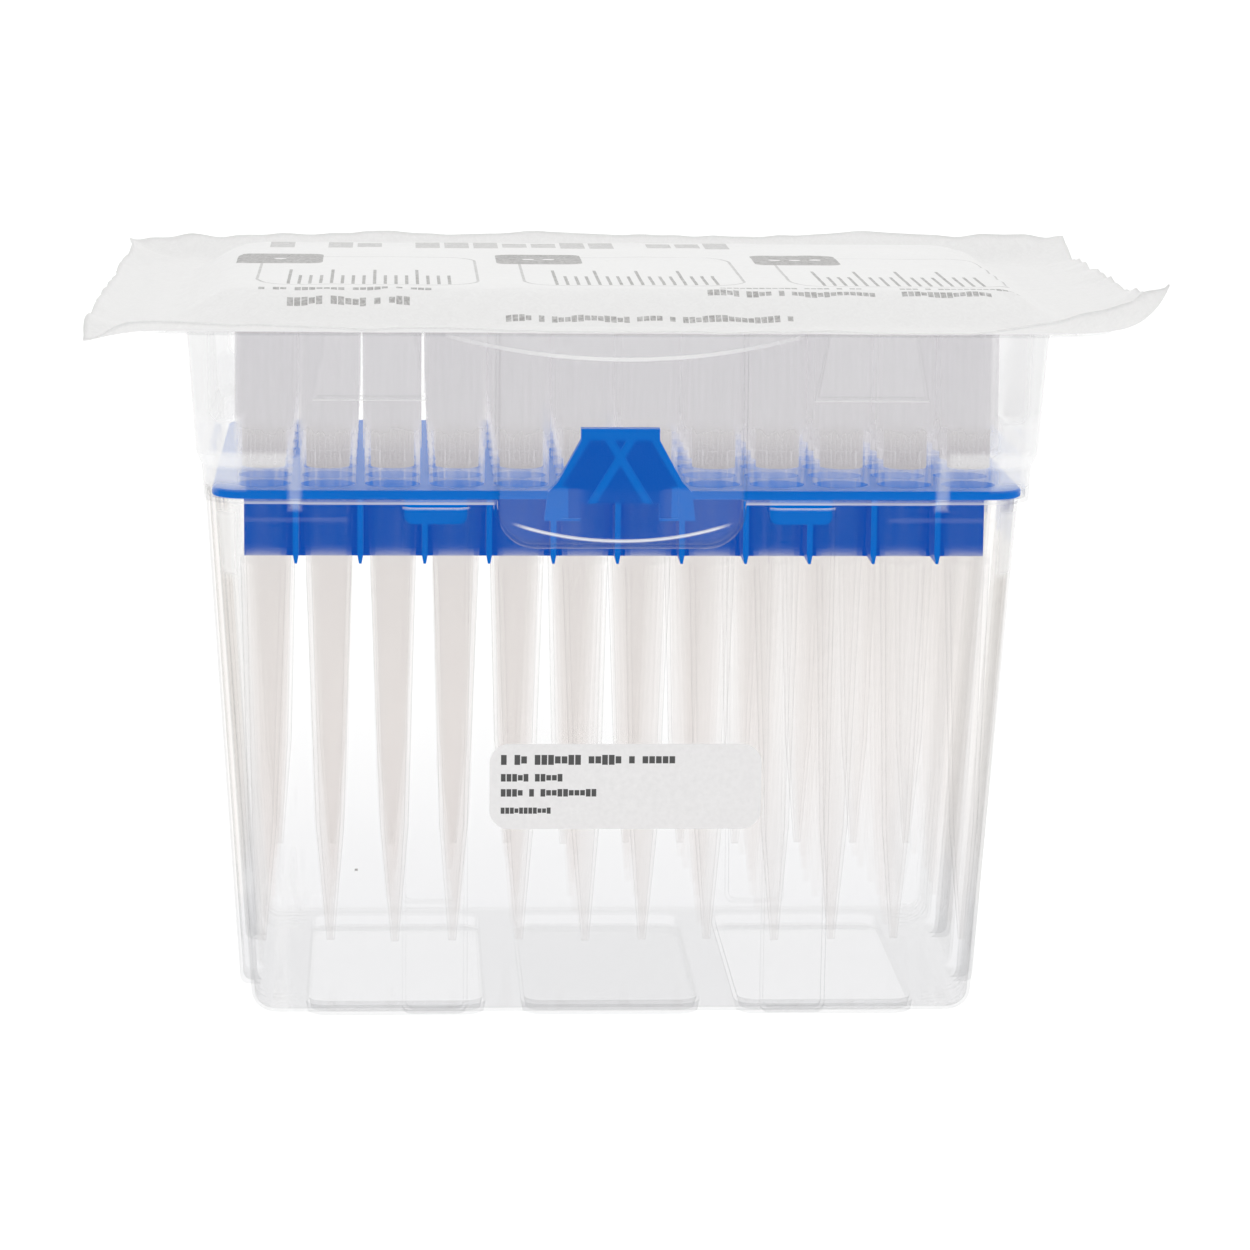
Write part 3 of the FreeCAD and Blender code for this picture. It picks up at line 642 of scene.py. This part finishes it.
# It starts earlier by the dip, between two heads at front and back and over a head at the ends.
# The dips come in from inside the outline, over a width.
slope_dip, dip_inside, dip_width = 0.55, 1.5, 2.0
long_side_slope = 0.66                  # y over x, past which a point lies at the front or back
sag_size = 0.16
wave_loss, crease_loss = 0.4, 0.5       # shares that the taut slope takes from waves and creases
crease_share = 0.8
lift_ease = 0.08                        # rounds the sheet where it lifts off the heads
edge_grain = 0.03
grid_step = 0.75
cut_blend = 12                          # the cut's waves reach in by one part in this many
# Waves of the tent: height, length across and along, and seed.
tent_waves = [(0.22, 24, 17, 3.1), (0.12, 7, 5, 8.7), (0.04, 2.6, 2.2, 4.4)]
# Ripples of the curl: curvature, how many for each side, and seed. Waves of the cut: size,
# length, and two seeds.
curl_ripples = [(0.045, 9.0, 0.0), (0.02, 31.0, 2.0)]
cut_waves = [(0.55, 16, 7.3, 2.0), (0.2, 5, 3.1, 9.0)]
# Curl of the free edge, as curvature per mm, at places round the sheet from the middle of the
# right side against the clock: how far round, where the four corners are 0.5, 1.5, 2.5 and 3.5.
edge_curl = [(0.0, 0.038), (0.3, 0.056), (0.5, 0.014), (0.64, 0.235), (0.8, 0.185), (1.0, 0.190),
             (1.2, 0.208), (1.4, 0.163), (1.5, 0.012), (1.62, 0.180), (1.75, 0.130), (2.0, 0.150),
             (2.2, 0.130), (2.4, 0.110), (2.5, -0.015), (2.6, 0.190), (2.75, 0.100), (3.0, 0.050),
             (3.3, 0.045), (3.4, 0.300), (3.47, 0.125), (3.5, 0.086), (3.6, 0.165), (3.75, 0.110),
             (4.0, 0.038)]
# Soft creases in the sheet: from x, y to x, y, then height and half width.
creases = [(-60, -20, -30, -36, 0.30, 2.2), (-54, 20, -66, 34, 0.5, 1.8),
           (22, -38, 58, -30, -0.30, 2.0), (-20, -34, 30, -37, 0.25, 1.5), (55, 28, 66, 40, 0.5, 1.8),
           (-40, -8, 10, -20, -0.22, 3.0), (5, 12, 50, 2, 0.22, 3.0), (-48, 16, -6, 24, -0.2, 2.5),
           (54, -34, 64, -44, 0.6, 1.6), (-55, -34, -65, -44, 0.5, 1.6), (12, -14, 46, -26, 0.2, 2.2)]
crease_overrun, crease_fade = 0.2, 0.35


def smooth(share):
    """0 to 1, level at both ends."""
    held = min(max(share, 0.0), 1.0)
    return held * held * (3 - 2 * held)


def uneven(x, y, seed):
    """A smooth unevenness about 0, the same each run."""
    return noise.noise(Vector((x, y, seed)))


def outside(x, y, half, radius):
    """How far a point lies outside a rounded rectangle, and the way out."""
    over_x, over_y = abs(x) - half[0] + radius, abs(y) - half[1] + radius
    away = Vector((math.copysign(max(over_x, 0), x), math.copysign(max(over_y, 0), y)))
    if away.length < 1e-9:
        return max(over_x, over_y) - radius, away
    return away.length - radius, away.normalized()


def round_the_sheet(x, y):
    """Place round the sheet, 0 to 4, with corners at the halves."""
    across = (x - (cut_left + cut_right) / 2) / ((cut_right - cut_left) / 2)
    along = (y - (cut_front + cut_back) / 2) / ((cut_back - cut_front) / 2)
    if abs(across) >= abs(along):
        turn = along / across / 2
        return turn % 4 if across > 0 else 2 + turn
    turn = -across / along / 2
    return 1 + turn if along > 0 else 3 + turn


def curl_at(place):
    """Curvature of the free edge at a place round the sheet."""
    for (start, first), (end, second) in zip(edge_curl, edge_curl[1:]):
        if place <= end:
            return first + (second - first) * smooth((place - start) / (end - start))
    return edge_curl[-1][1]


def crease_height(x, y):
    """All soft creases at one point."""
    total = 0.0
    for x0, y0, x1, y1, height, width in creases:
        run = Vector((x1 - x0, y1 - y0))
        from_start = Vector((x - x0, y - y0))
        share = from_start.dot(run) / run.length_squared
        off = abs(run.x * from_start.y - run.y * from_start.x) / run.length
        before, after = share + crease_overrun, 1 + crease_overrun - share
        if before > 0 and after > 0 and off < 3 * width:
            ends = smooth(before / crease_fade) * smooth(after / crease_fade)
            total += height * ends * math.exp(-(off / width) ** 2)
    return total


def tent_height(x, y):
    """Height of the sheet inside the seal: over the heads, and down to the flange round them."""
    beyond = outside(x, y, heads_half, heads_round)[0]
    between_columns = 0.5 + 0.5 * math.cos(2 * math.pi * x / tip_pitch)
    over_row = 0.5 + 0.5 * math.cos(2 * math.pi * (y - tip_pitch / 2) / tip_pitch)
    here = between_columns if abs(y) > abs(x) * long_side_slope else over_row
    dip = slope_dip * here * smooth((beyond + dip_inside) / dip_width)
    down = smooth((beyond + dip + slope_start) / (tent_reach + slope_start))
    sag = sag_size * (between_columns + over_row) / 2
    waves = sum(height * uneven(x / across, y / along, seed) for height, across, along, seed in tent_waves)
    lift = (1 - down) * (waves * (1 - wave_loss * down) - sag)
    lift += crease_share * crease_height(x, y) * (1 - crease_loss * down)
    taut = tent_top + (flange_top - tent_top) * down
    return max(taut + (lift + math.hypot(lift, lift_ease)) / 2, flange_top + tent_least)


def sheet_point(x, y):
    """Where a point of the flat cut lies on the pack: in the tent, or on the free edge."""
    out, way = outside(x, y, flange_half, flange_round)
    if out <= 0:
        return Vector((x, y, tent_height(x, y)))
    place = round_the_sheet(x, y)
    bend = curl_at(place) + sum(size * uneven(place * count, seed, 5.0) for size, count, seed in curl_ripples)
    turn = bend * out
    if abs(turn) > 1e-6:
        level, rise = math.sin(turn) / bend, (1 - math.cos(turn)) / bend
    else:
        level, rise = out, 0.0
    sealed = Vector((x, y)) - way * out
    spot = sealed + way * level
    return Vector((spot.x, spot.y, flange_top + rise + edge_grain * uneven(x / 3, y / 3, 1.0)))


def cut_edge(place, side):
    """Small waves of the cut along one of its four sides."""
    return sum(size * uneven(place / length, side * shift, seed) for size, length, shift, seed in cut_waves)


def cut_shift(place, share, low_side, high_side):
    """How far the waves of two opposite cuts move a point, at its share of the way between them."""
    from_low = 1 - smooth(share * cut_blend)
    from_high = smooth(share * cut_blend - (cut_blend - 1))
    return cut_edge(place, low_side) * from_low + cut_edge(place, high_side) * from_high


steps_x = round((cut_right - cut_left) / grid_step)
steps_y = round((cut_back - cut_front) / grid_step)
points, flat_places = [], []
for row in range(steps_y + 1):
    for column in range(steps_x + 1):
        share_x, share_y = column / steps_x, row / steps_y
        x = cut_left + (cut_right - cut_left) * share_x
        y = cut_front + (cut_back - cut_front) * share_y
        flat_places.append((x * MM, y * MM))
        x += cut_shift(y, share_x, 1, 2)
        y += cut_shift(x, share_y, 3, 4)
        points.append(sheet_point(x, y) * MM)
faces = []
for row in range(steps_y):
    for column in range(steps_x):
        first = row * (steps_x + 1) + column
        faces.append((first, first + 1, first + steps_x + 2, first + steps_x + 1))
cover_mesh = bpy.data.meshes.new("lid_sheet")
cover_mesh.from_pydata(points, [], faces)
cut_map = cover_mesh.uv_layers.new(name="cut")
for corner in cover_mesh.loops:
    cut_map.data[corner.index].uv = flat_places[corner.vertex_index]
cover = bpy.data.objects.new("lid_sheet", cover_mesh)
scene.collection.objects.link(cover)
bpy.ops.object.select_all(action="DESELECT")
bpy.context.view_layer.objects.active = cover
cover.select_set(True)
bpy.ops.object.shade_smooth()
thickness = cover.modifiers.new("thickness", "SOLIDIFY")
thickness.thickness = sheet_thick * MM
thickness.offset = 0.0
bpy.ops.object.modifier_apply(modifier=thickness.name)

# Print on the flat sheet: dark tags with pips, tick scales in thin frames, and bar rows.
tags = [(-48.0, 8.0, 1), (-10.0, 8.0, 2), (28.0, 8.0, 3)]
tag_half, tag_round = (6.3, 7.5, 1.0), 2.0
pip_pitch, pip_radius = 3.0, 0.9
frames = [(-35.0, -10.0), (2.5, -10.0), (40.0, -10.0)]
frame_half, frame_round, frame_line = (15.5, 21.0, 1.0), 6.0, 0.2
tick_from_middle = (-11.25, -20.0)
tick_length, tick_height, tick_pitch, tick_line = 22.95, 21.0, 1.5, 0.45
short_tick, long_tick_more = 0.6, 0.4   # every fourth tick is long
title_row = [(-50.0, 30.5, 70.4, 9.0, 4.4)]
small_rows = [(-50.0, -35.5, 24.0, 1.7, 1.0), (-46.0, -39.0, 17.0, 1.7, 1.0), (-16.0, -42.5, 39.6, 1.5, 0.9),
              (14.0, -34.0, 19.8, 1.5, 0.9), (12.0, -37.0, 23.4, 1.5, 0.9), (39.0, -34.0, 18.0, 1.5, 0.9),
              (39.0, -37.0, 13.5, 1.5, 0.9)]
faint_ink, dark_ink = 0.45, 0.75        # share of ink in the frames and title, and in the rest
ink_full, ink_worn = 0.95, 0.55
ink_grey = (0.19, 0.18, 0.175, 1)
sheet_dull, sheet_bright = (0.76, 0.755, 0.75, 1), (0.88, 0.88, 0.875, 1)
over_heads = ((0.0, 0.0, 0.0), (0.044, 0.026, 1.0), 0.022)      # in metres on the flat sheet
fibre_scale, bond_scale, fibre_height = 900.0, 450.0, 0.00006
heads_tone_share, fibre_tone_share = 0.25, 0.75
bond_relief = 4.0
let_through = 0.40


def tag_parts(tree, taken):
    """How far a place lies outside a rounded rectangle."""
    past = past_half(tree, taken, vectors(tree, "SUBTRACT", taken["Half"], taken["Round"]))
    far = vectors(tree, "LENGTH", vectors(tree, "MAXIMUM", past, (0.0, 0.0, 0.0)))
    return {"Outside": maths(tree, "SUBTRACT", far, split(tree, taken["Round"])["X"])}


def tick_parts(tree, taken):
    """Thin ticks on a base line, with every fourth one long."""
    off = split(tree, vectors(tree, "SUBTRACT", taken["Place"], taken["Start"]))
    across = maths(tree, "DIVIDE", off["X"], taken["Pitch"])
    fourths = maths(tree, "DIVIDE", maths(tree, "FLOOR", across), 4.0)
    fourth = maths(tree, "LESS_THAN", maths(tree, "FRACT", fourths), 0.1)
    tall = maths(tree, "MULTIPLY", taken["Height"],
                 maths(tree, "MULTIPLY_ADD", fourth, long_tick_more, short_tick))
    from_tick = maths(tree, "MULTIPLY", maths(tree, "FRACT", across), taken["Pitch"])
    mask = maths(tree, "LESS_THAN", from_tick, taken["Line"])
    mask = maths(tree, "MULTIPLY", mask, within(tree, off["Y"], 0.0, tall))
    return {"Mask": maths(tree, "MULTIPLY", mask, within(tree, off["X"], 0.0, taken["Length"]))}


tag_group = shader_group("rounded_tag", [("Place", "Vector"), ("Middle", "Vector"), ("Half", "Vector"),
                                         ("Round", "Vector")], [("Outside", "Float")], tag_parts)
tick_group = shader_group("tick_row", [("Place", "Vector"), ("Start", "Vector"), ("Length", "Float"),
                                       ("Height", "Float"), ("Pitch", "Float"), ("Line", "Float")],
                          [("Mask", "Float")], tick_parts)


def tag_distance(tree, place, x, y, half, corner):
    """How far a place lies outside a rounded rectangle round x, y."""
    return put(tree, "Group", {"Place": place, "Middle": (x, y, 0.0), "Half": half,
                               "Round": (corner, corner, 0.0)}, node_tree=tag_group).outputs[0]


def ticks(tree, place, x, y):
    """Print mask of the tick scale in a frame round x, y."""
    start = (x + tick_from_middle[0], y + tick_from_middle[1], 0.0)
    return put(tree, "Group", {"Place": place, "Start": start, "Length": tick_length, "Height": tick_height,
                               "Pitch": tick_pitch, "Line": tick_line}, node_tree=tick_group).outputs[0]


def sheet_print(tree, place):
    """Share of ink: dark tags, ticks and small rows, and a faint title and frames."""
    dark, tagged, framed = 0.0, 0.0, 0.0
    for x, y, pips in tags:
        inside = maths(tree, "LESS_THAN", tag_distance(tree, place, x, y, tag_half, tag_round), 0.0)
        tagged = maths(tree, "MAXIMUM", inside, tagged)
        for pip in range(pips):
            spot = (x + pip_pitch * (pip - (pips - 1) / 2), y, 0.0)
            away = vectors(tree, "LENGTH", vectors(tree, "SUBTRACT", place, spot))
            inside = maths(tree, "MULTIPLY", inside, maths(tree, "GREATER_THAN", away, pip_radius))
        dark = maths(tree, "MAXIMUM", inside, dark)
    dark = maths(tree, "MAXIMUM", dark, bar_rows(tree, place, small_rows))
    for x, y in frames:
        dark = maths(tree, "MAXIMUM", dark, ticks(tree, place, x, y))
        away = maths(tree, "ABSOLUTE", tag_distance(tree, place, x, y, frame_half, frame_round))
        framed = maths(tree, "MAXIMUM", framed, maths(tree, "LESS_THAN", away, frame_line))
    framed = maths(tree, "MULTIPLY", framed, maths(tree, "SUBTRACT", 1.0, tagged))
    faint = maths(tree, "MAXIMUM", bar_rows(tree, place, title_row), framed)
    return maths(tree, "MULTIPLY_ADD", faint, faint_ink, maths(tree, "MULTIPLY", dark, dark_ink))


def sheet_surface(tree):
    """Bonded fibres, brighter over the heads, with worn print and light passing through."""
    flat = put(tree, "UVMap", uv_map="cut").outputs[0]
    place = vectors(tree, "DIVIDE", flat, (MM, MM, 1.0))
    fibres = put(tree, "TexNoise", {"Vector": flat, "Scale": fibre_scale, "Detail": 5.0, "Distortion": 2.0})
    fibre = fibres.outputs["Fac"]
    bonds = put(tree, "TexVoronoi", {"Vector": flat, "Scale": bond_scale}, feature="DISTANCE_TO_EDGE")
    tone = maths(tree, "MULTIPLY_ADD", near_box(tree, flat, *over_heads), heads_tone_share,
                 maths(tree, "MULTIPLY", fibre, fibre_tone_share))
    worn = spread(tree, fibre, 0.35, 0.65, ink_full, ink_worn)
    ink = maths(tree, "MULTIPLY", sheet_print(tree, place), worn, clamp=True)
    colour = toned(tree, ink, toned(tree, tone, sheet_dull, sheet_bright), ink_grey)
    relief = maths(tree, "MULTIPLY_ADD", bonds.outputs["Distance"], bond_relief, fibre)
    solid = put(tree, "BsdfPrincipled", {"Base Color": colour, "Roughness": 0.62, "Specular IOR Level": 0.25,
                                         "Normal": bumped(tree, relief, 0.35, fibre_height)}).outputs[0]
    through = put(tree, "BsdfTranslucent", {"Color": colour}).outputs[0]
    return mixed(tree, let_through, solid, through)


cover.data.materials.append(new_material("lid_sheet", sheet_surface))
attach(cover, "root")
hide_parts("lid")
# Light scattered inside the pack crosses its thin walls and small parts as if they weren't there.
for thin in list(nodes.values()) + [cover]:
    thin.visible_diffuse = False
    thin.visible_transmission = False
